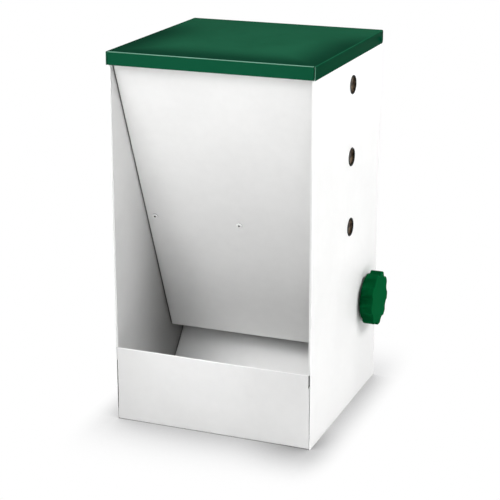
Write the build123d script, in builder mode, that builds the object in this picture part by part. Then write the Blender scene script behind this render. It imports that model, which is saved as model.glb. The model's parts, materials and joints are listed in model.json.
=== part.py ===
from build123d import *
import math
import os

# Feed hopper of painted sheet steel: an inclined front panel leads the feed to a throat above a ramp,
# a lid closes the top, and a knob on the right side turns the flap that sets the flow.
# Millimetres and degrees. The origin is the centre of the base, +Z is up and the front faces -Y.

os.makedirs("parts", exist_ok=True)

# Casing
body_width = 220.0
body_depth = 220.0
body_height = 400.0  # floor to the top of the closed lid
sheet = 1.0
bend = 1.5  # outer radius of a bend in the sheet
seam = 0.4  # gap at a seam that shows
side_hem = 3.0  # in-turned front edge of each side wall
back_flange = 13.0

# Trough and ramp
lip_height = 82.0
fold = 8.0  # depth of a folded hem
pan_flange = 10.0
pan_rear_flange = 12.0
pan_flange_end = 18.0
lip_flange = 12.0  # flanges at the ends of the lip
relief_width = 1.5  # slot at the right end of the lip
relief_height = 14.0
ramp_foot = 22.4
ramp_angle = 49.0
ramp_flange = 14.0
ramp_gap = 1.4  # each side of the ramp to the walls
tab = 13.0  # foot and head tabs of the ramp

# Inclined front panel
throat_y = 30.0
throat_z = 60.0
panel_setback = 1.8  # panel's top edge behind the casing's front
panel_flange = 10.0
panel_gap = 1.3  # panel's face to the walls, which its flanges lean out to
panel_seat = 6.0  # depth behind the face where the flanges meet the walls
brace_height = 207.0
brace_base = 18.0
brace_leg = 10.0
brace_gap = 1.5
rivet_inset = 12.0  # outer rivets to the casing's sides
rivet_radius = 1.6
rivet_head_radius = 3.2
rivet_head = 1.3

# Lid and its pivots
lid_gap = 0.3  # lid to casing at the top and sides
lid_front_gap = 0.4
lid_overhang = 0.4  # lid's rear edge behind the casing
hinge_inset = 7.0  # pivot ahead of the casing's back
swing_gap = 1.0  # how much deeper than that the pivot lies below the lid
pin_margin = 5.0  # pivot to the lower edge of the lid's flange
lid_corner = 3.5
pin_radius = 2.0
pin_fit = 0.05  # radial clearance of the lid and walls on the pin
pin_head_radius = 2.9
pin_head = 1.6
pin_head_hole = 1.0
pin_tail_radius = 3.0
pin_tail = 1.0
pin_washer_radius = 4.2
pin_washer = 0.8
side_play = 0.1  # axial clearance between pieces that turn on each other

# Sight windows
window_y = 11.0
window_drop = 41.0  # top of the lid to the middle of the top window
window_pitch = 76.5
window_names = ("top", "middle", "bottom")
window_hole = 9.3  # radius of the wall's hole
grommet_wall = 0.9  # radial, inside the hole
outer_lip = 0.7  # how far the lip covers the wall
outer_lip_height = 0.6
inner_lip = 2.2
inner_lip_height = 2.6
pane = 1.2
pane_grip = 1.2  # how deep the pane sits in the grommet
snug = 0.05  # clearance between pieces that are pressed or snapped together

# Regulator
shaft_inset = 40.3  # shaft ahead of the casing's back
shaft_z = 108.5
shaft_radius = 4.0
running_fit = 0.05
flat_height = 2.5  # shaft axis to its flat
flat_margin = 0.3  # flat past each end of the flap
bush_radius = 6.0
bush_flange_radius = 9.0
bush_flange = 1.5
bush_proud = 0.2
washer_radius = 10.0
washer = 1.0
spring_radius = 9.5
spring_height = 1.7
spring_sheet = 0.6
clip_radius = 7.0
clip = 0.8
clip_groove = 0.8  # depth of the clip's groove in the shaft
clip_ring = 2.1
clip_prong = 2.4
clip_mouth = 6.0
shaft_tail = 2.8  # shaft past the clip

# Flap
flap_angle = 46.5  # shut, rising to the rear
flap_sheet = 1.2
flap_gap = 0.6  # edges of the shut flap to the panel and the back
flap_side_gap = 1.6
flap_corner = 3.0
flap_screw_radius = 1.45
flap_screw_head_radius = 2.9
flap_screw_head = 1.9
flap_screw_inset = 37.0  # outer screws to the flap's ends

# Knob
knob_gap = 2.3  # knob to wall
knob_thickness = 15.2
knob_radius = 30.2
knob_lobes = 9
knob_turn = 10.0  # brings one lobe to the bottom
scallop_depth = 3.5
scallop_radius = 8.0
skirt_inset = 3.6  # how much smaller in radius the round skirt is
skirt = 2.0
knob_front_round = 1.2
knob_rear_round = 0.8
skirt_round = 1.0
lobe_round = 3.2
recess_play = 1.5  # washers to the side of the recess behind the knob
insert_radius = 7.0
insert_length = 10.0
grub_radius = 2.0
grub_length = 8.0
grub_angle = -70.0
grub_socket = 1.25

# Places that follow from these
half_width = body_width / 2
half_depth = body_depth / 2
wall_in = half_width - sheet
back_in = half_depth - sheet
wall_top = body_height - sheet - lid_gap
pivot_y = half_depth - hinge_inset
shaft_y = half_depth - shaft_inset
pivot_z = body_height - sheet - hinge_inset - swing_gap
corner_radius = wall_top - pivot_z
lid_flange = body_height - pivot_z + pin_margin
back_top = pivot_z + math.sqrt(corner_radius**2 - hinge_inset**2)
lid_out = half_width + lid_gap + sheet
lid_front = half_depth + lid_front_gap + sheet
lid_rear = half_depth + lid_overhang
notch_y = half_depth - back_flange - seam  # clear of the back panel's flanges
notch_x = wall_in - bend - seam / 2


def write(piece, name):
    piece.part.label = name
    export_step(piece.part, "parts/" + name + ".step")


def across(y, z, x=0.0):
    """Plane square to the X axis, with its own axes along Y and Z."""
    return Plane(origin=(x, y, z), x_dir=(0, 1, 0), z_dir=(1, 0, 0))


# Side walls. Each is cut away behind the trough's lip, and its rear top corner is round about the
# lid's pivot so that the lid can swing past it.
window_top = body_height - window_drop
window_heights = {name: window_top - i * window_pitch for i, name in enumerate(window_names)}


def side_wall(side, holes):
    """One side wall; holes lists (y, z, radius)."""
    with BuildPart() as wall:
        with BuildSketch():
            with BuildLine():
                FilletPolyline(
                    (side * half_width, half_depth),
                    (side * half_width, -half_depth),
                    (side * (half_width - side_hem), -half_depth),
                    radius=bend,
                )
                offset(amount=sheet, side=Side.RIGHT if side > 0 else Side.LEFT)
            make_face()
        extrude(amount=wall_top)
        with BuildSketch():
            with Locations((side * (wall_in - side_hem / 2), -half_depth + side_hem / 2)):
                Rectangle(side_hem, side_hem)
        extrude(amount=lip_height + seam, mode=Mode.SUBTRACT)
        top_edges = wall.edges().filter_by(Axis.X).group_by(Axis.Z)[-1]
        fillet(top_edges.sort_by(Axis.Y)[-1], radius=corner_radius)
        with BuildSketch(Plane.YZ):
            for y, z, radius in holes:
                with Locations((y, z)):
                    Circle(radius)
        extrude(amount=side * body_width, mode=Mode.SUBTRACT)
    return wall


pin_hole = (pivot_y, pivot_z, pin_radius + pin_fit)
bush_hole = (shaft_y, shaft_z, bush_radius + snug)
window_holes = [(window_y, z, window_hole) for z in window_heights.values()]
write(side_wall(-1, [pin_hole, bush_hole]), "left_side")
write(side_wall(1, [pin_hole, bush_hole] + window_holes), "right_side")

# Back panel, between the side walls, with its flanges along their inner faces
with BuildPart() as back_panel:
    with BuildSketch():
        with BuildLine():
            FilletPolyline(
                (wall_in, half_depth - back_flange),
                (wall_in, half_depth),
                (-wall_in, half_depth),
                (-wall_in, half_depth - back_flange),
                radius=bend,
            )
            offset(amount=sheet, side=Side.LEFT)
        make_face()
    extrude(amount=back_top)
    with BuildSketch(Plane.YZ):
        with Locations((pivot_y, pivot_z)):
            Circle(pin_radius + pin_fit)
    extrude(amount=body_width, both=True, mode=Mode.SUBTRACT)
write(back_panel, "back_panel")

# Trough pan: lip, floor and rear flange from one sheet, with low flanges against the side walls and
# higher ones behind the ends of the lip, the right one stepped in at its top beside a slot
lip_end = wall_in - seam
lip_flange_foot = pan_flange + 2 * sheet
relief_foot = lip_height - relief_height
with BuildPart() as trough_pan:
    with BuildSketch(Plane.YZ):
        with BuildLine():
            FilletPolyline(
                (back_in, pan_rear_flange),
                (back_in, 0),
                (-half_depth, 0),
                (-half_depth, lip_height),
                radius=bend,
            )
            offset(amount=sheet, side=Side.RIGHT)
        make_face()
        with Locations((-half_depth + 1.5 * sheet, lip_height - fold / 2)):
            Rectangle(sheet, fold)
    extrude(amount=wall_in, both=True)
    lip_edges = trough_pan.edges().filter_by(Axis.X).group_by(Axis.Z)[-1]
    fillet(lip_edges, radius=0.9 * sheet)
    for side in (-1, 1):
        with BuildSketch(Plane.XY.offset(bend)):
            with Locations((side * wall_in, -half_depth)):
                Rectangle(2 * seam, 4 * sheet)
        extrude(amount=lip_height, mode=Mode.SUBTRACT)
        with BuildSketch():
            with Locations((side * (notch_x + sheet), (notch_y + half_depth) / 2)):
                Rectangle(2 * sheet, half_depth - notch_y)
        extrude(amount=lip_height, mode=Mode.SUBTRACT)
        with BuildSketch(Plane.YZ.offset(side * wall_in)):
            with Locations((-half_depth + 2 * bend, 0)):
                Rectangle(
                    pan_flange_end + half_depth - 2 * bend,
                    pan_flange + sheet,
                    align=(Align.MIN, Align.MIN),
                )
        extrude(amount=-side * sheet)
        with BuildSketch(Plane.XY.offset(lip_flange_foot)):
            with Locations((side * (lip_end - sheet / 2), -half_depth)):
                Rectangle(sheet, lip_flange, align=(Align.CENTER, Align.MIN))
        extrude(amount=relief_foot - lip_flange_foot)
        with BuildSketch(Plane.XY.offset(lip_flange_foot)):
            with Locations((side * (lip_end - bend / 2), -half_depth + bend / 2)):
                Rectangle(bend, bend)
            with Locations((side * (lip_end - bend), -half_depth + bend)):
                Circle(bend, mode=Mode.SUBTRACT)
        extrude(amount=relief_foot - lip_flange_foot, mode=Mode.SUBTRACT)
    with BuildSketch(Plane.XY.offset(relief_foot)):
        with Locations((lip_end, -half_depth)):
            Rectangle(2 * relief_width, 4 * sheet)
    extrude(amount=relief_height, mode=Mode.SUBTRACT)
    with BuildSketch(Plane.XY.offset(relief_foot)):
        with Locations((lip_end - relief_width - sheet / 2, -half_depth + sheet / 2)):
            Rectangle(sheet, lip_flange - sheet / 2, align=(Align.CENTER, Align.MIN))
    extrude(amount=relief_height - sheet)
write(trough_pan, "trough_pan")

# Ramp: one sheet from the floor up to the back panel, with tabs under it and flanges at its sides
ramp_half = wall_in - ramp_gap
ramp_slope = math.tan(math.radians(ramp_angle))
ramp_top = sheet + (back_in - ramp_foot) * ramp_slope
ramp_drop = ramp_flange / math.cos(math.radians(ramp_angle))  # the flange's depth, measured upright
with BuildPart() as ramp:
    with BuildSketch(Plane.YZ):
        with BuildLine():
            FilletPolyline(
                (ramp_foot + tab, sheet),
                (ramp_foot, sheet),
                (back_in, ramp_top),
                (back_in, ramp_top - tab),
                radius=bend,
            )
            offset(amount=sheet, side=Side.RIGHT)
        make_face()
    extrude(amount=ramp_half, both=True)
    flange_start = ramp_foot + ramp_drop
    for side in (-1, 1):
        with BuildSketch(Plane.YZ.offset(side * ramp_half)):
            with BuildLine():
                Polyline(
                    (flange_start, (flange_start - ramp_foot) * ramp_slope),
                    (notch_y, (notch_y - ramp_foot) * ramp_slope),
                    (notch_y, (notch_y - ramp_foot) * ramp_slope - ramp_drop),
                    (flange_start, 2 * sheet),
                    close=True,
                )
            make_face()
        extrude(amount=-side * sheet)
        with BuildSketch():
            with Locations((side * (notch_x + sheet), (notch_y + half_depth) / 2)):
                Rectangle(2 * sheet, half_depth - notch_y)
        extrude(amount=body_height, mode=Mode.SUBTRACT)
write(ramp, "ramp")

# Inclined front panel. Its plane has its own Y axis up the slope and faces out of the front.
panel_half = wall_in - panel_gap
panel_run = throat_y + half_depth - panel_setback
panel_lean = math.atan(panel_run / (wall_top - throat_z))
panel_out = Vector(0, -math.cos(panel_lean), -math.sin(panel_lean))
panel_up = Vector(0, -math.sin(panel_lean), math.cos(panel_lean))
panel_plane = Plane(origin=(0, throat_y, throat_z), x_dir=(1, 0, 0), z_dir=panel_out)
panel_length = (wall_top - throat_z) / math.cos(panel_lean)
rivet_row = (brace_height - throat_z) / math.cos(panel_lean)
rivet_pitch = half_width - rivet_inset
rivet_names = {"left": -rivet_pitch, "centre": 0.0, "right": rivet_pitch}

with BuildPart() as hopper_panel:
    with BuildSketch(Plane(origin=panel_plane.origin, x_dir=(1, 0, 0), z_dir=panel_up)):
        with BuildLine():
            FilletPolyline(
                (-wall_in, panel_flange),
                (-wall_in, panel_seat),
                (-panel_half, 0),
                (panel_half, 0),
                (wall_in, panel_seat),
                (wall_in, panel_flange),
                radius=bend,
            )
            offset(amount=sheet, side=Side.LEFT)
        make_face()
    extrude(amount=panel_length + panel_flange)
    with BuildSketch(panel_plane.offset(-sheet)):
        Rectangle(2 * (panel_half - bend - seam), fold, align=(Align.CENTER, Align.MIN))
    extrude(amount=-sheet)
    foot_edges = hopper_panel.edges().filter_by(Axis.X).group_by(Axis((0, 0, 0), panel_up))[0]
    foot_edges = foot_edges.sort_by(Axis((0, 0, 0), panel_out))
    fillet([foot_edges[0], foot_edges[-1]], radius=0.9 * sheet)
    split(bisect_by=Plane.XY.offset(wall_top), keep=Keep.BOTTOM)
    with BuildSketch(panel_plane):
        with Locations(*[(x, rivet_row) for x in rivet_names.values()]):
            Circle(rivet_radius + snug)
    extrude(amount=-2 * panel_flange, mode=Mode.SUBTRACT)
write(hopper_panel, "hopper_panel")

# Brace behind the panel, an angle held by the three rivets
brace_half = panel_half - sheet - brace_gap
with BuildPart() as panel_brace:
    with BuildSketch(panel_plane.offset(-sheet)):
        with Locations((0, rivet_row)):
            Rectangle(2 * brace_half, brace_base)
    extrude(amount=-sheet)
    with BuildSketch(panel_plane.offset(-sheet)):
        with Locations((0, rivet_row - brace_base / 2)):
            Rectangle(2 * brace_half, sheet, align=(Align.CENTER, Align.MIN))
    extrude(amount=-brace_leg)
    with BuildSketch(panel_plane):
        with Locations(*[(x, rivet_row) for x in rivet_names.values()]):
            Circle(rivet_radius + snug)
    extrude(amount=-3 * sheet, mode=Mode.SUBTRACT)
write(panel_brace, "panel_brace")

# Blind rivets: domed head with its mandrel hole in front, swollen tail behind
for side, x in rivet_names.items():
    place = Plane(
        origin=panel_plane.from_local_coords((x, rivet_row, 0)), x_dir=(1, 0, 0), z_dir=panel_out
    )
    with BuildPart() as rivet:
        with BuildSketch(place):
            Circle(rivet_head_radius)
        extrude(amount=rivet_head)
        rim = rivet.edges().group_by(Axis((0, 0, 0), panel_out))[-1]
        fillet(rim, radius=0.85 * rivet_head)
        with BuildSketch(place):
            Circle(rivet_radius)
        extrude(amount=-3 * sheet)
        with BuildSketch(place.offset(-2 * sheet)):
            Circle(1.5 * rivet_radius)
        extrude(amount=-2 * rivet_radius)
        tail_rim = rivet.edges().group_by(Axis((0, 0, 0), panel_out))[0]
        fillet(tail_rim, radius=0.4 * rivet_radius)
        with BuildSketch(place.offset(rivet_head)):
            Circle(0.7 * rivet_radius)
        extrude(amount=-2.5 * rivet_head, mode=Mode.SUBTRACT)
    write(rivet, "panel_rivet_" + side)

# Lid: the side flanges run past the ends of the front flange, with a seam at each corner
front_half = lid_out - sheet - seam
with BuildPart() as lid:
    with BuildSketch(Plane.XZ.offset(-lid_rear)):
        with BuildLine():
            FilletPolyline(
                (-lid_out, body_height - lid_flange),
                (-lid_out, body_height),
                (lid_out, body_height),
                (lid_out, body_height - lid_flange),
                radius=bend,
            )
            offset(amount=sheet, side=Side.RIGHT)
        make_face()
    extrude(amount=lid_rear + lid_front)
    with BuildSketch(Plane.XY.offset(body_height - lid_flange)):
        with Locations((0, -lid_front)):
            Rectangle(2 * front_half, 2 * bend)
    extrude(amount=2 * lid_flange, mode=Mode.SUBTRACT)
    with BuildSketch(Plane.YZ):
        with BuildLine():
            FilletPolyline(
                (-lid_front + 2 * bend, body_height),
                (-lid_front, body_height),
                (-lid_front, body_height - lid_flange),
                radius=bend,
            )
            offset(amount=sheet, side=Side.LEFT)
        make_face()
    extrude(amount=front_half - seam, both=True)
    rear_corners = lid.edges().filter_by(Axis.X).group_by(Axis.Z)[0].group_by(Axis.Y)[-1]
    fillet(rear_corners, radius=lid_corner)
    with BuildSketch(Plane.YZ):
        with Locations((pivot_y, pivot_z)):
            Circle(pin_radius + pin_fit)
    extrude(amount=body_width, both=True, mode=Mode.SUBTRACT)
write(lid, "lid")

# Lid pivots: a headed pin through the lid's flange, the side wall and the back panel's flange
for name, side in (("left", -1), ("right", 1)):
    under_head = lid_out + side_play
    inner_face = wall_in - sheet
    outward = Plane(
        origin=(side * under_head, pivot_y, pivot_z), x_dir=(0, 1, 0), z_dir=(side, 0, 0)
    )
    inner = Plane(
        origin=(side * inner_face, pivot_y, pivot_z), x_dir=(0, 1, 0), z_dir=(-side, 0, 0)
    )
    with BuildPart() as lid_pin:
        with BuildSketch(outward):
            Circle(pin_head_radius)
        extrude(amount=pin_head)
        outer_rim = lid_pin.edges().sort_by(Axis((0, 0, 0), outward.z_dir))[-1]
        fillet(outer_rim, radius=0.85 * pin_head)
        with BuildSketch(outward.offset(pin_head)):
            Circle(pin_head_hole)
        extrude(amount=-0.75 * pin_head, mode=Mode.SUBTRACT)
        with BuildSketch(outward):
            Circle(pin_radius)
        extrude(amount=-(under_head - inner_face + pin_washer + pin_tail))
        with BuildSketch(inner.offset(pin_washer)):
            Circle(pin_tail_radius)
        extrude(amount=pin_tail)
    write(lid_pin, "lid_pin_" + name)
    with BuildPart() as pin_washer_disc:
        with BuildSketch(inner):
            Circle(pin_washer_radius)
            Circle(pin_radius + pin_fit, mode=Mode.SUBTRACT)
        extrude(amount=pin_washer)
    write(pin_washer_disc, "lid_pin_washer_" + name)

# Sight windows: a rubber grommet grips the wall's hole and holds a clear pane
window_clear = window_hole - grommet_wall
pane_edge = window_clear + pane_grip
pane_x = wall_in - (inner_lip_height + pane) / 2
for name, z in window_heights.items():
    centre = Plane(origin=(0, window_y, z), x_dir=(1, 0, 0), z_dir=(0, 0, 1))
    centre_line = Axis((0, window_y, z), (1, 0, 0))
    with BuildPart() as grommet:
        with BuildSketch(centre):
            with BuildLine():
                Polyline(
                    (wall_in - inner_lip_height, window_clear),
                    (wall_in - inner_lip_height, window_hole + inner_lip),
                    (wall_in, window_hole + inner_lip),
                    (wall_in, window_hole - snug),
                    (half_width, window_hole - snug),
                    (half_width, window_hole + outer_lip),
                    (half_width + outer_lip_height, window_hole + outer_lip - outer_lip_height / 2),
                    (half_width + outer_lip_height, window_clear),
                    (pane_x + pane + snug, window_clear),
                    (pane_x + pane + snug, pane_edge + snug),
                    (pane_x - snug, pane_edge + snug),
                    (pane_x - snug, window_clear),
                    close=True,
                )
            make_face()
        revolve(axis=centre_line)
    write(grommet, "window_grommet_" + name)
    with BuildPart() as window:
        with BuildSketch(across(window_y, z, pane_x)):
            Circle(pane_edge)
        extrude(amount=pane)
        chamfer(window.edges(), length=0.2 * pane)
    write(window, "sight_window_" + name)

# Regulator shaft, with a flat for the flap and a groove for its clip
bush_end = half_width + bush_proud
clip_x = -(bush_end + washer + side_play + clip)
knob_back = half_width + knob_gap
spring_x = bush_end + washer + side_play
seat_x = spring_x + spring_height  # floor of the knob's rear recess
shaft_right = seat_x + insert_length - snug
shaft_left = clip_x - shaft_tail
flap_half = wall_in - sheet - flap_side_gap
flap_plane = Plane(
    origin=(0, shaft_y, shaft_z),
    x_dir=(1, 0, 0),
    z_dir=(0, -math.sin(math.radians(flap_angle)), math.cos(math.radians(flap_angle))),
)
flap_screw_pitch = flap_half - flap_screw_inset
screw_places = {"left": -flap_screw_pitch, "centre": 0.0, "right": flap_screw_pitch}
grub_plane = Plane(
    origin=(seat_x + insert_length / 2, shaft_y, shaft_z),
    x_dir=(1, 0, 0),
    z_dir=(0, math.cos(math.radians(grub_angle)), math.sin(math.radians(grub_angle))),
)

with BuildPart() as regulator_shaft:
    with BuildSketch(across(shaft_y, shaft_z, shaft_left)):
        Circle(shaft_radius)
    extrude(amount=shaft_right - shaft_left)
    chamfer(regulator_shaft.edges(), length=0.15 * shaft_radius)
    with BuildSketch(across(shaft_y, shaft_z, clip_x - snug)):
        Circle(2 * shaft_radius)
        Circle(shaft_radius - clip_groove, mode=Mode.SUBTRACT)
    extrude(amount=clip + 2 * snug, mode=Mode.SUBTRACT)
    with BuildSketch(flap_plane.offset(flat_height)):
        Rectangle(2 * (flap_half + flat_margin), 4 * shaft_radius)
    extrude(amount=shaft_radius, mode=Mode.SUBTRACT)
    with BuildSketch(flap_plane):
        with Locations(*[(x, 0) for x in screw_places.values()]):
            Circle(flap_screw_radius + snug)
    extrude(amount=shaft_radius, both=True, mode=Mode.SUBTRACT)
write(regulator_shaft, "regulator_shaft")

# Bushes in the side walls, flanged on the inside
for name, side in (("left", -1), ("right", 1)):
    inner = Plane(origin=(side * wall_in, shaft_y, shaft_z), x_dir=(0, 1, 0), z_dir=(side, 0, 0))
    with BuildPart() as bush:
        with BuildSketch(inner):
            Circle(bush_radius)
        extrude(amount=sheet + bush_proud)
        with BuildSketch(inner):
            Circle(bush_flange_radius)
        extrude(amount=-bush_flange)
        with BuildSketch(inner):
            Circle(shaft_radius + running_fit)
        extrude(amount=2 * washer_radius, both=True, mode=Mode.SUBTRACT)
        chamfer(bush.edges().sort_by(Axis.X)[0 if side > 0 else -1], length=0.2 * bush_flange)
    write(bush, "shaft_bush_" + name)


def flat_washer(x):
    with BuildPart() as ring:
        with BuildSketch(across(shaft_y, shaft_z, x)):
            Circle(washer_radius)
            Circle(shaft_radius + running_fit + snug, mode=Mode.SUBTRACT)
        extrude(amount=washer)
    return ring


write(flat_washer(bush_end), "knob_washer")
write(flat_washer(-bush_end - washer), "clip_washer")

# Cupped spring washer between the flat washer and the knob
cup = Plane(origin=(0, shaft_y, shaft_z), x_dir=(1, 0, 0), z_dir=(0, 0, 1))
bore = shaft_radius + running_fit + snug
with BuildPart() as spring_washer:
    with BuildSketch(cup):
        with BuildLine():
            Polyline(
                (spring_x, spring_radius),
                (spring_x + spring_sheet, spring_radius),
                (seat_x, bore),
                (seat_x - spring_sheet, bore),
                close=True,
            )
        make_face()
    revolve(axis=Axis((0, shaft_y, shaft_z), (1, 0, 0)))
write(spring_washer, "spring_washer")

# Clip in the shaft's groove: an open ring with three prongs
prong_tip = shaft_radius - clip_groove + snug
with BuildPart() as shaft_clip:
    with BuildSketch(across(shaft_y, shaft_z, clip_x)):
        Circle(clip_radius)
        Circle(clip_radius - clip_ring, mode=Mode.SUBTRACT)
        with Locations((0, -clip_radius)):
            Rectangle(clip_mouth, clip_radius, mode=Mode.SUBTRACT)
        with PolarLocations(prong_tip, 3, start_angle=90):
            Rectangle(
                clip_radius - clip_ring / 2 - prong_tip, clip_prong, align=(Align.MIN, Align.CENTER)
            )
    extrude(amount=clip)
write(shaft_clip, "shaft_clip")

# Flap: its edges come close to the panel's hem in front and to the back panel behind
along = flap_plane.y_dir
panel_in = -panel_out
hem_face = panel_in.dot(panel_plane.origin) + 2 * sheet + flap_gap
front_reach = min(
    (panel_in.dot(flap_plane.from_local_coords((0, 0, height))) - hem_face) / panel_in.dot(along)
    for height in (flat_height, flat_height + flap_sheet)
)
rear_reach = min(
    (back_in - flap_gap - flap_plane.from_local_coords((0, 0, height)).Y) / along.Y
    for height in (flat_height, flat_height + flap_sheet)
)
with BuildPart() as flow_flap:
    with BuildSketch(flap_plane.offset(flat_height)):
        with Locations((0, (rear_reach - front_reach) / 2)):
            Rectangle(2 * flap_half, front_reach + rear_reach)
        fillet(vertices(), radius=flap_corner)
        with Locations(*[(x, 0) for x in screw_places.values()]):
            Circle(flap_screw_radius + snug, mode=Mode.SUBTRACT)
    extrude(amount=flap_sheet)
write(flow_flap, "flow_flap")

# Flap screws, through the flap into the shaft
for name, x in screw_places.items():
    top = Plane(
        origin=flap_plane.from_local_coords((x, 0, flat_height + flap_sheet)),
        x_dir=(1, 0, 0),
        z_dir=flap_plane.z_dir,
    )
    with BuildPart() as flap_screw:
        with BuildSketch(top):
            Circle(flap_screw_head_radius)
        extrude(amount=flap_screw_head)
        dome = flap_screw.edges().sort_by(Axis((0, 0, 0), top.z_dir))[-1]
        fillet(dome, radius=0.7 * flap_screw_head)
        with BuildSketch(top):
            Circle(flap_screw_radius)
        extrude(amount=-(flap_sheet + flat_height + 0.8 * shaft_radius))
        with BuildSketch(top.offset(flap_screw_head)):
            Rectangle(flap_screw_head_radius, 0.25 * flap_screw_head_radius)
            Rectangle(0.25 * flap_screw_head_radius, flap_screw_head_radius)
        extrude(amount=-0.5 * flap_screw_head, mode=Mode.SUBTRACT)
    write(flap_screw, "flap_screw_" + name)

# Knob: a scalloped grip in front of a round skirt, recessed behind for the washers
knob_valley = knob_radius - scallop_depth
with BuildPart() as knob:
    with BuildSketch(across(shaft_y, shaft_z, knob_back + skirt)):
        Circle(knob_radius)
        with PolarLocations(knob_valley + scallop_radius, knob_lobes, start_angle=knob_turn):
            Circle(scallop_radius, mode=Mode.SUBTRACT)
        fillet(vertices(), radius=lobe_round)
    extrude(amount=knob_thickness - skirt)
    fillet(knob.faces().sort_by(Axis.X)[-1].edges(), radius=knob_front_round)
    fillet(knob.faces().sort_by(Axis.X)[0].edges(), radius=knob_rear_round)
    with BuildSketch(across(shaft_y, shaft_z, knob_back)):
        Circle(knob_radius - skirt_inset)
    extrude(amount=skirt + knob_rear_round)
    fillet(knob.edges().group_by(Axis.X)[0], radius=skirt_round)
    with BuildSketch(across(shaft_y, shaft_z, knob_back)):
        Circle(washer_radius + recess_play)
    extrude(amount=seat_x - knob_back, mode=Mode.SUBTRACT)
    with BuildSketch(across(shaft_y, shaft_z, seat_x)):
        Circle(insert_radius + snug)
    extrude(amount=insert_length + snug, mode=Mode.SUBTRACT)
    with BuildSketch(grub_plane):
        Circle(grub_radius + snug)
    extrude(amount=2 * knob_radius, mode=Mode.SUBTRACT)
write(knob, "knob")

with BuildPart() as knob_insert:
    with BuildSketch(across(shaft_y, shaft_z, seat_x)):
        Circle(insert_radius)
        Circle(shaft_radius + snug, mode=Mode.SUBTRACT)
    extrude(amount=insert_length)
    with BuildSketch(across(shaft_y, shaft_z, seat_x + insert_length / 2 + grub_radius + 1.0)):
        Circle(2 * insert_radius)
        Circle(0.93 * insert_radius, mode=Mode.SUBTRACT)
    extrude(amount=0.15 * insert_length, mode=Mode.SUBTRACT)
    with BuildSketch(grub_plane):
        Circle(grub_radius + snug)
    extrude(amount=2 * insert_radius, mode=Mode.SUBTRACT)
write(knob_insert, "knob_insert")

with BuildPart() as knob_grub_screw:
    with BuildSketch(grub_plane.offset(shaft_radius + snug)):
        Circle(grub_radius)
    extrude(amount=grub_length)
    with BuildSketch(grub_plane.offset(shaft_radius + snug + grub_length)):
        RegularPolygon(grub_socket, 6)
    extrude(amount=-grub_socket * 1.5, mode=Mode.SUBTRACT)
write(knob_grub_screw, "knob_grub_screw")
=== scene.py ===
import json
import math

import bpy
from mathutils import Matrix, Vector

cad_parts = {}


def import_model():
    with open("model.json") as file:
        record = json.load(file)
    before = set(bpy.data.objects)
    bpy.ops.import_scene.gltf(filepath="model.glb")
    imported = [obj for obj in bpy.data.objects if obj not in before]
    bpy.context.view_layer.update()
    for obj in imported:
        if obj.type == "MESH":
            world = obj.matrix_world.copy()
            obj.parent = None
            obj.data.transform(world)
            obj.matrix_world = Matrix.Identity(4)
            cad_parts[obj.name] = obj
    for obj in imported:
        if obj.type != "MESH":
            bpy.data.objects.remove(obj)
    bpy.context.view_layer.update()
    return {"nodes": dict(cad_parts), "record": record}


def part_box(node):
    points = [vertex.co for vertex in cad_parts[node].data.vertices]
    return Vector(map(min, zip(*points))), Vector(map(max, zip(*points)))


# Feed hopper of white coated sheet steel with a green lid and knob. All its pieces are CAD nodes:
# this script gives them their finishes, and adds the floor, the world, the lamps and the camera.
# Lengths are in metres, and the front faces -Y.
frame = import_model()
nodes = frame["nodes"]
MM = 0.001


# Shader maths

class Value:
    """A node's output socket, so that the maths of a finish reads as Python."""

    def __init__(self, finish, socket):
        self.finish = finish
        self.socket = socket

    def maths(self, operation, *operands):
        return self.finish.add("ShaderNodeMath", {"operation": operation}, dict(enumerate(operands)))

    def __add__(self, other):
        return self.maths("ADD", self, other)

    def __radd__(self, other):
        return self.maths("ADD", other, self)

    def __sub__(self, other):
        return self.maths("SUBTRACT", self, other)

    def __rsub__(self, other):
        return self.maths("SUBTRACT", other, self)

    def __mul__(self, other):
        return self.maths("MULTIPLY", self, other)

    def __rmul__(self, other):
        return self.maths("MULTIPLY", other, self)

    def __truediv__(self, other):
        return self.maths("DIVIDE", self, other)

    def least(self, other):
        return self.maths("MINIMUM", self, other)

    def most(self, other):
        return self.maths("MAXIMUM", self, other)

    def size(self):
        return self.maths("ABSOLUTE", self)

    def root(self):
        return self.maths("SQRT", self)

    def step(self, start, end):
        """Smooth step from 0 at start to 1 at end."""
        values = {"Value": self, "From Min": start, "From Max": end}
        return self.finish.add("ShaderNodeMapRange", {"interpolation_type": "SMOOTHSTEP"}, values)


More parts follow.
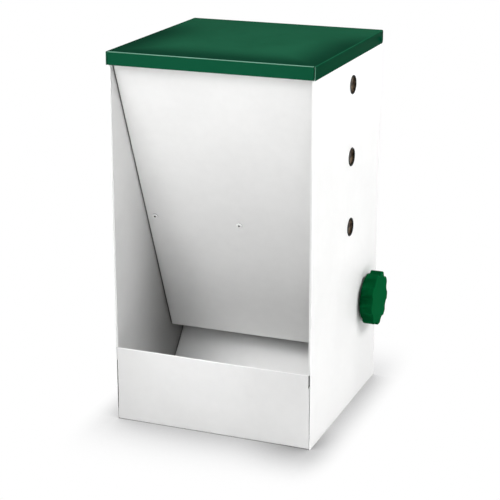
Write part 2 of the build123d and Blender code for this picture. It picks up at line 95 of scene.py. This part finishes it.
class Finish:
    """The nodes of a material or of the world, added one at a time."""

    def __init__(self, owner):
        owner.use_nodes = True
        self.owner = owner
        self.tree = owner.node_tree
        self.tree.nodes.clear()

    def add(self, kind, settings, values, output=0):
        """Adds a node: its settings first, then the values or links of its sockets.

        It gives one of the node's outputs, or the material or world where the node has none.
        """
        node = self.tree.nodes.new(kind)
        for key, setting in settings.items():
            if key == "stops":
                self.set_stops(node.color_ramp, setting)
            else:
                setattr(node, key, setting)
        for key, value in values.items():
            if isinstance(value, Value):
                self.tree.links.new(value.socket, node.inputs[key])
            else:
                node.inputs[key].default_value = value
        return Value(self, node.outputs[output]) if len(node.outputs) else self.owner

    @staticmethod
    def set_stops(ramp, stops):
        while len(ramp.elements) < len(stops):
            ramp.elements.new(1.0)
        for element, (position, colour) in zip(ramp.elements, stops):
            element.position = position
            element.color = colour

    def place(self):
        """The point on the piece that is being shaded."""
        return self.add("ShaderNodeTexCoord", {}, {}, "Object")

    def split(self, vector):
        return [self.add("ShaderNodeSeparateXYZ", {}, {0: vector}, axis) for axis in range(3)]

    def axes(self):
        """The x, y and z of that point."""
        return self.split(self.place())

    def facing(self):
        """The x, y and z of the direction in which its face looks, each from -1 to 1."""
        return self.split(self.add("ShaderNodeTexCoord", {}, {}, "Normal"))

    def noise(self, scale, detail, stretch=(1, 1, 1)):
        """Noise from 0 to 1 whose patches are about 1 / scale metres across."""
        at = self.add("ShaderNodeMapping", {}, {"Vector": self.place(), "Scale": stretch})
        return self.add("ShaderNodeTexNoise", {}, {"Vector": at, "Scale": scale, "Detail": detail})

    def ramp(self, factor, *stops):
        return self.add("ShaderNodeValToRGB", {"stops": stops}, {0: factor})

    def tint(self, factor, first, second):
        """Colour that goes from first to second as factor goes from 0 to 1."""
        return self.add("ShaderNodeMix", {"data_type": "RGBA"}, {0: factor, 6: first, 7: second}, 2)

    def mottle(self, noise, first, second, start=0.3, end=0.7):
        """Colour that goes from first to second as a noise goes from start to end."""
        return self.tint(noise.step(start, end), first, second)

    def openness(self, reach, samples):
        """1 where nothing lies within reach of a face, down to 0 where it is shut in."""
        return self.add("ShaderNodeAmbientOcclusion", {"samples": samples}, {"Distance": reach}, "AO")

    def crevices(self, reach, shut=0.12, clear=0.55):
        """1 inside seams and gaps narrower than about the reach, and 0 on open faces."""
        return 1 - self.openness(reach, samples=8).step(shut, clear)

    def relief(self, height, depth, strength, edge):
        """Normals of a fine relief on faces whose sharp edges are rounded by the radius edge."""
        rounded = self.add("ShaderNodeBevel", {"samples": 4}, {"Radius": edge})
        values = {"Height": height, "Distance": depth, "Strength": strength, "Normal": rounded}
        return self.add("ShaderNodeBump", {}, values)

    def background_rays(self):
        """1 for rays that show the background: seen directly, reflected or through glass."""
        kinds = ("Is Camera Ray", "Is Glossy Ray", "Is Transmission Ray")
        seen, mirrored, through = [self.add("ShaderNodeLightPath", {}, {}, kind) for kind in kinds]
        return seen.most(mirrored).most(through)

    def mixed(self, factor, first, second):
        """Shader that goes from first to second as factor goes from 0 to 1."""
        return self.add("ShaderNodeMixShader", {}, {0: factor, 1: first, 2: second})

    def surface(self, **sockets):
        """The Principled shader; socket names are written with underscores."""
        values = {key.replace("_", " "): value for key, value in sockets.items()}
        return self.shown(self.add("ShaderNodeBsdfPrincipled", {}, values))

    def shown(self, shader):
        """Gives the material or world its finished shader."""
        of_world = isinstance(self.owner, bpy.types.World)
        kind = "ShaderNodeOutputWorld" if of_world else "ShaderNodeOutputMaterial"
        return self.add(kind, {}, {"Surface": shader})


def material(name):
    return Finish(bpy.data.materials.new(name))


def shade(red, green, blue):
    return (red, green, blue, 1.0)


WHITE = shade(1, 1, 1)
BLACK = shade(0, 0, 0)


# Places on the pieces that the finishes follow

lid_low, lid_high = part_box("lid")
lid_front, lid_side = -lid_low.y, lid_high.x
wall_low, wall_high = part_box("right_side")
casing_front, casing_side = -wall_low.y, wall_high.x
windows = [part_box("sight_window_" + name) for name in ("top", "middle", "bottom")]
window_heights = [(low.z + high.z) / 2 for low, high in windows]


# Finishes

def coat(name, light, dark):
    """Powder coat on sheet steel: fine orange peel, rounded over the cut edges, faintly uneven."""
    finish = material(name)
    broad = finish.noise(14.0, detail=3.0)
    fine = finish.noise(95.0, detail=4.0)
    peel = finish.noise(620.0, detail=1.5)
    base = finish.mottle(0.7 * broad + 0.3 * fine, dark, light, 0.35, 0.65)
    normal = finish.relief(peel, depth=0.10 * MM, strength=0.3, edge=0.45 * MM)
    return finish, base, fine, normal


def white_coat():
    """White coat of the casing: painted shade in its seams and near the throat, and a painted
    highlight on its bent front edges.
    """
    seam_shade = shade(0.10, 0.095, 0.09)
    dust_and_shade = shade(0.05, 0.048, 0.045)
    finish, base, fine, normal = coat(
        "white_powder_coat", light=shade(0.83, 0.83, 0.825), dark=shade(0.80, 0.80, 0.795)
    )
    x, y, z = finish.axes()
    across, along, up = finish.facing()
    flat = across.size().most(along.size()).most(up.size()).step(0.85, 0.985)
    # Painted highlight: the bent front edges are turned white.
    at_front = 1 - (y + casing_front).step(1.0 * MM, 1.6 * MM)
    edge_highlight = finish.tint((1 - flat) * at_front, base, WHITE)
    # Painted shade: seams and gaps narrower than about 3 mm are darkened.
    shaded_seams = finish.tint(0.9 * finish.crevices(3.0 * MM), edge_highlight, seam_shade)
    # x times across is below -0.10 on the faces at the sides that look inwards
    facing_in = 1 - (x * across).step(-0.10, -0.05)
    near_throat = y.step(-85 * MM, 25 * MM) * (1 - z.step(50 * MM, 350 * MM))
    # Painted shade: the inner faces of the side walls darken towards the throat, to the rear and low
    # down.
    shaded_throat = finish.tint(0.62 * facing_in * near_throat, shaded_seams, dust_and_shade)
    rough = 0.42 + 0.10 * (fine - 0.5)
    return finish.surface(Base_Color=shaded_throat, Roughness=rough, Normal=normal, Specular_IOR_Level=0.35)


def green_coat():
    """Green coat of the lid and its pins: painted shade makes it deeper near the folds and on the
    flanges, and a painted highlight and a glossier coat brighten the front ones.
    """
    shaded_green = shade(0.0012, 0.034, 0.0170)
    front_flange_shade = shade(0.0050, 0.072, 0.0340)
    side_flange_shade = shade(0.0008, 0.044, 0.0195)
    painted_glint = shade(0.15, 0.34, 0.25)
    finish, base, fine, normal = coat(
        "green_powder_coat", light=shade(0.0135, 0.114, 0.057), dark=shade(0.0105, 0.098, 0.048)
    )
    x, y = finish.axes()[:2]
    across, along, up = [direction.size() for direction in finish.facing()]
    at_front = 1 - (y + lid_front).step(1.0 * MM, 1.8 * MM)
    top_fold = (1 - along.most(up).step(0.80, 0.97)) * (1 - across.step(0.10, 0.30)) * at_front
    at_corner = (x.size() - lid_side).step(-0.9 * MM, -0.2 * MM)
    end_seam = at_corner * (1 - across.step(0.5, 0.9)) * at_front
    # Painted shade: the top darkens near its side and front folds.
    fold = 111 * MM
    near_sides = x.size().step(fold - 55 * MM, fold) * (1 - y.step(0.0, 90 * MM))
    near_front = 1 - y.step(-fold, 60 * MM - fold)
    near_folds = near_sides.most(near_front) * up.step(0.85, 0.99)
    top = finish.tint(0.85 * near_folds, base, shaded_green)
    # Painted shade: the flanges are darker than the top, the side flanges darkest.
    flange = finish.tint(across.step(0.85, 0.99), front_flange_shade, side_flange_shade)
    plain = finish.tint(up.step(0.5, 0.9), flange, top)
    # Painted highlight: the front fold and the front corners are lightened.
    colour = finish.tint(0.8 * top_fold.most(end_seam), plain, painted_glint)
    return finish.surface(
        Base_Color=colour, Roughness=0.46 + 0.10 * (fine - 0.5), Normal=normal,
        Specular_IOR_Level=0.0005, Coat_Weight=0.8 * top_fold, Coat_Roughness=0.16,
    )


def green_moulding():
    """Moulded nylon of the knob, with a fine spark-eroded grain; its outer face is painted lighter and
    its sides darker, as light and shade.
    """
    finish = material("green_moulded_plastic")
    grain = finish.noise(1100.0, detail=2.0)
    broad = finish.noise(60.0, detail=3.0)
    side = finish.mottle(broad, shade(0.0006, 0.056, 0.0160), shade(0.0012, 0.072, 0.0205))
    # Painted light and shade: the outer face is lighter than the sides.
    outward = finish.facing()[0].step(0.5, 0.98)
    base = finish.tint(outward, side, shade(0.0012, 0.082, 0.0245))
    normal = finish.relief(grain, depth=0.05 * MM, strength=0.5, edge=0.35 * MM)
    rough = 0.42 + 0.14 * (grain - 0.5)
    return finish.surface(Base_Color=base, Roughness=rough, Normal=normal, Specular_IOR_Level=0.0003)


def metal(name, light, dark, roughness):
    """Plated or bare metal with fine tumbling marks and a patchy tone."""
    finish = material(name)
    fine = finish.noise(1400.0, detail=3.0)
    broad = finish.noise(150.0, detail=3.0)
    base = finish.mottle(broad, dark, light)
    normal = finish.relief(fine, depth=0.02 * MM, strength=0.6, edge=0.2 * MM)
    rough = roughness + 0.16 * (fine - 0.5)
    return finish.surface(Base_Color=base, Roughness=rough, Metallic=1.0, Normal=normal)


def rivet_metal():
    """Dull aluminium of the blind rivets, with painted shade in their holes and under their heads."""
    finish = material("rivet_aluminium")
    fine = finish.noise(1400.0, detail=3.0)
    bare = finish.mottle(fine, shade(0.90, 0.90, 0.89), shade(0.97, 0.97, 0.96))
    # Painted shade: the holes and the edges under the heads are darkened.
    hidden = finish.crevices(3.0 * MM, shut=0.45, clear=0.90)
    shaded_hollows = finish.tint(hidden, bare, shade(0.012, 0.011, 0.010))
    normal = finish.relief(fine, depth=0.02 * MM, strength=0.6, edge=0.2 * MM)
    rough = 0.40 + 0.16 * (fine - 0.5)
    return finish.surface(Base_Color=shaded_hollows, Roughness=rough, Metallic=0.1, Normal=normal)


def rubber():
    """Black rubber of the window grommets, brown with feed dust inside the wall."""
    finish = material("black_rubber")
    grain = finish.noise(1500.0, detail=3.0)
    blobs = finish.noise(260.0, detail=3.0)
    black = finish.mottle(grain, shade(0.006, 0.006, 0.006), shade(0.016, 0.015, 0.014))
    dust_and_shade = finish.mottle(blobs, shade(0.020, 0.012, 0.006), shade(0.160, 0.120, 0.080), 0.36, 0.62)
    inside = 1 - (finish.axes()[0] - casing_side).step(-0.9 * MM, -0.1 * MM)
    colour = finish.tint(0.9 * inside, black, dust_and_shade)
    normal = finish.relief(grain, depth=0.04 * MM, strength=0.6, edge=0.2 * MM)
    rough = 0.55 + 0.2 * grain
    return finish.surface(Base_Color=colour, Roughness=rough, Normal=normal, Specular_IOR_Level=0.15)


def smoked_pane():
    """Smoked brown window, mottled, with a dark band across its middle."""
    finish = material("smoked_window")
    blobs = finish.noise(210.0, detail=3.0, stretch=(1, 1, 0.8))
    brown = finish.ramp(
        blobs,
        (0.36, shade(0.030, 0.016, 0.007)),
        (0.50, shade(0.090, 0.058, 0.033)),
        (0.64, shade(0.190, 0.140, 0.092)),
    )
    z = finish.axes()[2]
    top, middle, bottom = [(z - height).size() for height in window_heights]
    band = 1 - top.least(middle).least(bottom).step(0.6 * MM, 2.4 * MM)
    colour = finish.tint(0.95 * band, brown, shade(0.008, 0.004, 0.001))
    normal = finish.relief(blobs, depth=0.4 * MM, strength=0.5, edge=0.15 * MM)
    rough = 0.25 + 0.2 * blobs
    return finish.surface(Base_Color=colour, Roughness=rough, Normal=normal, Specular_IOR_Level=0.2)


def nylon():
    """Natural nylon of the shaft's bushes, off-white and faintly grained."""
    finish = material("natural_nylon")
    grain = finish.noise(700.0, detail=2.0)
    base = finish.mottle(grain, shade(0.70, 0.67, 0.58), shade(0.79, 0.77, 0.70))
    normal = finish.relief(grain, depth=0.03 * MM, strength=0.5, edge=0.2 * MM)
    return finish.surface(Base_Color=base, Roughness=0.42 + 0.1 * grain, Normal=normal)


finishes = {
    "white_paint": white_coat(),
    "green_paint": green_coat(),
    "green_plastic": green_moulding(),
    "rivet_alloy": rivet_metal(),
    "zinc_steel": metal(
        "zinc_plate", light=shade(0.64, 0.65, 0.66), dark=shade(0.46, 0.47, 0.48), roughness=0.36
    ),
    "spring_steel": metal(
        "blackened_spring_steel", light=shade(0.13, 0.13, 0.135), dark=shade(0.08, 0.08, 0.085),
        roughness=0.42,
    ),
    "brass": metal(
        "turned_brass", light=shade(0.74, 0.52, 0.24), dark=shade(0.58, 0.38, 0.15), roughness=0.32
    ),
    "black_rubber": rubber(),
    "smoked_plastic": smoked_pane(),
    "white_nylon": nylon(),
}

slots = {part["node"]: part["material_slot"] for part in frame["record"]["subparts"]}
for name, node in nodes.items():
    node.data.materials.clear()
    node.data.materials.append(finishes[slots[name]])


# Floor, world, lamps and camera

def floor():
    """Pale floor, which fades into the white background away from the hopper's shadow; that shadow is
    partly painted into its glow.
    """
    bpy.ops.object.select_all(action="DESELECT")
    bpy.ops.mesh.primitive_plane_add(size=12.0)
    ground = bpy.context.object
    ground.name = "floor"
    finish = material("pale_floor")
    x, y = finish.axes()[:2]

    # How far the floor shows its shadow beside the casing, and before and behind it
    width_aside, width_ahead = 40 * MM, 125 * MM
    aside = (x.size() - casing_side).most(0.0) / width_aside
    ahead = (y.size() - casing_front).most(0.0) / width_ahead
    far = (aside * aside + ahead * ahead).root().step(0.0, 1.0)

    # The painted shadow is deepest at the casing's near right corner
    from_corner_x, from_corner_y = x - 112 * MM, y + 125 * MM
    from_corner = (from_corner_x * from_corner_x + from_corner_y * from_corner_y).root()
    at_corner = 1 - from_corner.step(0.0, 85 * MM)
    # Painted shadow: the glow is darker where less sky is open near the casing, and at its near right
    # corner.
    brightness = 0.88 * finish.openness(160 * MM, samples=16) - 0.27 * at_corner

    glow = finish.add("ShaderNodeEmission", {}, {"Color": finish.tint(brightness, BLACK, WHITE)})
    lit = finish.add("ShaderNodeBsdfDiffuse", {}, {"Color": shade(0.13, 0.13, 0.132)})
    near = finish.add("ShaderNodeAddShader", {}, {0: lit, 1: glow})
    background = finish.add("ShaderNodeEmission", {}, {"Color": WHITE})
    seen = finish.mixed(far, near, background)
    pale = finish.add("ShaderNodeBsdfDiffuse", {}, {"Color": shade(0.80, 0.80, 0.80)})
    finish.shown(finish.mixed(finish.background_rays(), pale, seen))
    ground.data.materials.append(finish.owner)


def world():
    """White backdrop below a dim ceiling; as a light it is only a faint fill."""
    fill, ceiling, backdrop = 0.05, 0.10, 0.85
    finish = Finish(bpy.data.worlds.new("studio"))
    low_down = 1 - finish.axes()[2].step(0.18, 0.30)
    strength = finish.background_rays() * (ceiling + backdrop * low_down) + fill
    finish.shown(finish.add("ShaderNodeBackground", {}, {"Color": WHITE, "Strength": strength}))
    bpy.context.scene.world = finish.owner


def lamp(name, place, target, size, power, spread=180.0):
    """Rectangular lamp aimed at a target: width and height, watts, and the beam's angle in degrees."""
    light = bpy.data.lights.new(name, "AREA")
    light.shape = "RECTANGLE"
    light.size, light.size_y = size
    light.energy = power
    light.spread = math.radians(spread)
    holder = bpy.data.objects.new(name, light)
    bpy.context.scene.collection.objects.link(holder)
    holder.location = Vector(place)
    holder.rotation_euler = (Vector(target) - Vector(place)).to_track_quat("-Z", "Y").to_euler()
    holder.visible_camera = False


def camera(azimuth, elevation, distance, target, lens):
    """Camera at an azimuth right of the front and an elevation, in degrees; its lens is in mm."""
    turn, rise = math.radians(azimuth), math.radians(elevation)
    back = Vector((math.sin(turn) * math.cos(rise), -math.cos(turn) * math.cos(rise), math.sin(rise)))
    data = bpy.data.cameras.new("camera")
    data.sensor_width = 36.0
    data.lens = lens
    holder = bpy.data.objects.new("camera", data)
    bpy.context.scene.collection.objects.link(holder)
    holder.location = Vector(target) + distance * back
    holder.rotation_euler = (-back).to_track_quat("-Z", "Y").to_euler()
    bpy.context.scene.camera = holder


floor()
world()
# The main light, and the glint on the lid's front fold
lamp("side", (0.9, -0.05, 0.7), (0.9, -0.05, 0.0), (0.6, 0.8), 12.4)
lamp("front", (-0.35, -1.0, 1.1), (0.0, 0.0, 0.2), (0.8, 0.8), 11.2)
lamp("fold", (-0.42, -1.0, 1.1), (0.0, 0.0, 0.2), (0.25, 0.12), 1.8)
# Narrow beams that even out single faces
lamp("top_right", (0.35, 0.2, 1.5), (0.05, 0.05, 0.4), (0.5, 0.5), 0.36, spread=40.0)
lamp("panel", (-0.05, -0.8, 0.42), (0.0, -0.10, 0.37), (0.3, 0.2), 0.045, spread=25.0)
lamp("panel_right", (0.35, -0.75, 0.45), (-0.04, -0.09, 0.36), (0.3, 0.2), 0.034, spread=22.0)
lamp("trough", (-0.05, -0.85, 0.46), (-0.02, 0.00, 0.03), (0.12, 0.12), 0.008, spread=9.0)
lamp("hem", (-0.10, -0.90, 0.30), (-0.02, 0.0, 0.14), (0.12, 0.06), 0.0050, spread=14.0)
# Light on the sides that face away from the camera
lamp("rear", (0.0, 1.3, 0.24), (0.0, 0.0, 0.22), (0.8, 0.3), 8.5)
lamp("left", (-1.3, 0.25, 0.24), (0.0, 0.10, 0.22), (0.5, 0.3), 8.5)
camera(
    azimuth=21.45, elevation=17.80, distance=1.5408, target=(0.04355, -0.110, 0.20867), lens=110.5
)

bpy.context.scene.view_settings.view_transform = "Standard"
